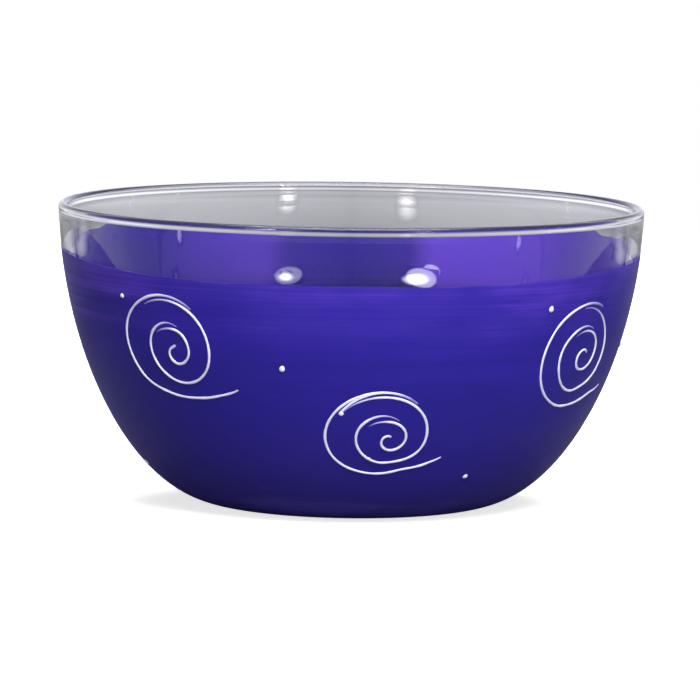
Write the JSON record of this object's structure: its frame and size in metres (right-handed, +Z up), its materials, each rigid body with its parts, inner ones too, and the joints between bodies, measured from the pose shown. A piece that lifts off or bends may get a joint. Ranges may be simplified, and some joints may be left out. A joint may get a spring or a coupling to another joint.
{
  "type": "glass bowl",
  "caption": "Deep round clear-glass bowl with a violet-blue painted outside, a clear band below its round rim, and raised white enamel swirls and dots.",
  "frame": {"origin": "middle of the foot's underside, on the table", "axes": "+Z up along the bowl's axis; -Y is the side that shows a low swirl between two high ones; +X to the right seen from there"},
  "size_m": [0.28, 0.28, 0.143],
  "materials": {
    "clear_glass": "clear pressed glass, polished",
    "violet_paint": "brushed-on violet-blue glass paint, satin outside, glossy seen through the glass",
    "white_enamel": "raised white enamel line, satin"
  },
  "bodies": {
    "root": {"glass_bowl": "clear_glass", "paint_coat": "violet_paint", "base_coat": "violet_paint", "enamel_swirl_1": "white_enamel", "enamel_swirl_2": "white_enamel", "enamel_swirl_3": "white_enamel", "enamel_swirl_4": "white_enamel", "enamel_swirl_5": "white_enamel", "enamel_swirl_6": "white_enamel", "enamel_dot_1": "white_enamel", "enamel_dot_2": "white_enamel", "enamel_dot_3": "white_enamel", "enamel_dot_4": "white_enamel", "enamel_dot_5": "white_enamel", "enamel_dot_6": "white_enamel", "enamel_dot_7": "white_enamel", "enamel_dot_8": "white_enamel", "enamel_dot_9": "white_enamel"}
  },
  "joints": []
}
